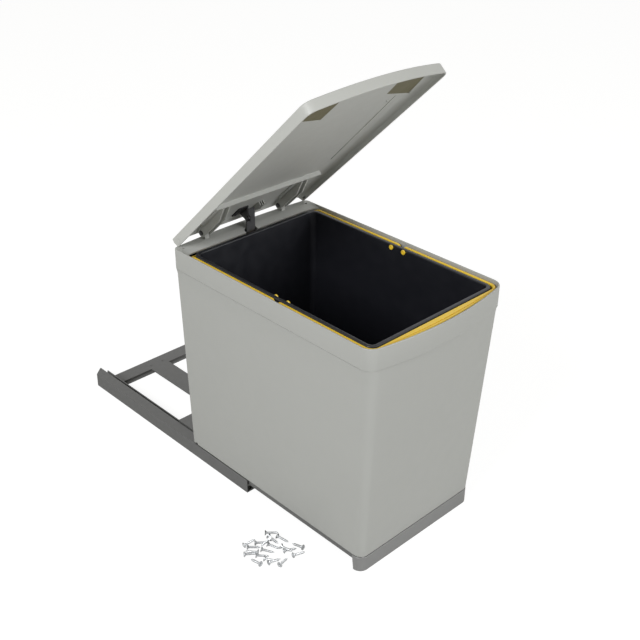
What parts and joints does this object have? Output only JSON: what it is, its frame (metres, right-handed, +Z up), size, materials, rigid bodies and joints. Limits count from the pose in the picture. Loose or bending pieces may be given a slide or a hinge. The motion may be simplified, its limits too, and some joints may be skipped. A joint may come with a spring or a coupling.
{
  "type": "pull-out trash cabinet fitting",
  "caption": "Base-mounted pull-out kitchen waste bin with an outer tub, a lift-out bucket with bail handles and a lid that opens as it is pulled out.",
  "frame": {"origin": "on the cabinet floor, at the middle of the four base screws", "axes": "+Z up, -Y towards the front of the cabinet, +X to the right seen from the front"},
  "size_m": [0.3225, 0.6501, 0.6179],
  "materials": {
    "steel_dark": "satin dark grey coating",
    "steel_zinc": "zinc plated",
    "strip_grey": "satin",
    "shell_grey": "satin moulded",
    "bucket_black": "satin moulded",
    "handle_yellow": "semi-gloss moulded",
    "nylon": "natural",
    "bracket_black": "black coating",
    "strap_grey": "dark coating"
  },
  "bodies": {
    "frame": {"left_fixed_rail": "steel_dark", "right_fixed_rail": "steel_dark", "rear_cross_member": "steel_dark", "front_tie_bar": "steel_dark", "lid_ramp_strip": "steel_dark", "strip_rivets": "steel_zinc", "front_roller_rivets": "steel_zinc", "mounting_screws": "steel_zinc"},
    "front_left_roller": {"front_left_roller": "nylon"},
    "front_right_roller": {"front_right_roller": "nylon"},
    "carriage": {"left_moving_rail": "steel_dark", "right_moving_rail": "steel_dark", "rear_cross_plate": "steel_dark", "front_cross_plate": "steel_dark", "front_strip": "strip_grey", "rear_roller_rivets": "steel_zinc", "outer_bin": "shell_grey", "bin_fixing_screws": "steel_zinc", "left_hinge_post": "shell_grey", "right_hinge_post": "shell_grey", "hinge_pins": "bracket_black", "lift_guide": "nylon", "inner_bucket": "bucket_black"},
    "rear_left_roller": {"rear_left_roller": "nylon"},
    "rear_right_roller": {"rear_right_roller": "nylon"},
    "front_handle": {"front_handle": "handle_yellow"},
    "rear_handle": {"rear_handle": "handle_yellow"},
    "lid": {"lid_shell": "shell_grey", "left_hinge_arm": "shell_grey", "right_hinge_arm": "shell_grey", "lid_crank": "bracket_black", "crank_rivets": "steel_zinc"},
    "lift_strap": {"lift_strap": "strap_grey", "crank_pin": "steel_zinc", "ramp_roller_pin": "steel_zinc"},
    "ramp_roller": {"ramp_roller": "nylon"}
  },
  "joints": [
    {"name": "carriage_slide", "type": "slide", "parent": "frame", "child": "carriage", "axis": [0, -1, 0], "range_m": [-0.2, 0]},
    {"name": "lid_hinge", "type": "hinge", "parent": "carriage", "child": "lid", "pos_m": [0, -0.071, 0.359], "axis": [-1, 0, 0], "range_deg": [-44.2, 0]},
    {"name": "lift_strap_slide", "type": "slide", "parent": "carriage", "child": "lift_strap", "axis": [0, 0, 1], "range_m": [-0.0145, 0]},
    {"name": "ramp_roller_spin", "type": "hinge", "parent": "lift_strap", "child": "ramp_roller", "pos_m": [0, -0.089, 0.0248], "axis": [1, 0, 0], "continuous": true},
    {"name": "front_handle_hinge", "type": "hinge", "parent": "carriage", "child": "front_handle", "pos_m": [0, -0.277, 0.3435], "axis": [-1, 0, 0], "range_deg": [0, 90]},
    {"name": "rear_handle_hinge", "type": "hinge", "parent": "carriage", "child": "rear_handle", "pos_m": [0, -0.255, 0.3435], "axis": [1, 0, 0], "range_deg": [0, 7]},
    {"name": "front_left_roller_spin", "type": "hinge", "parent": "frame", "child": "front_left_roller", "pos_m": [-0.1, -0.18, 0.01005], "axis": [1, 0, 0], "continuous": true},
    {"name": "front_right_roller_spin", "type": "hinge", "parent": "frame", "child": "front_right_roller", "pos_m": [0.1, -0.18, 0.01005], "axis": [1, 0, 0], "continuous": true},
    {"name": "rear_left_roller_spin", "type": "hinge", "parent": "carriage", "child": "rear_left_roller", "pos_m": [-0.1, -0.022, 0.011], "axis": [1, 0, 0], "continuous": true},
    {"name": "rear_right_roller_spin", "type": "hinge", "parent": "carriage", "child": "rear_right_roller", "pos_m": [0.1, -0.022, 0.011], "axis": [1, 0, 0], "continuous": true}
  ],
  "couplings": [
    {"joint": "lid_hinge", "follows": "carriage_slide", "rad_per_m": 3.857},
    {"joint": "lift_strap_slide", "follows": "carriage_slide", "ratio": 0.0725}
  ]
}
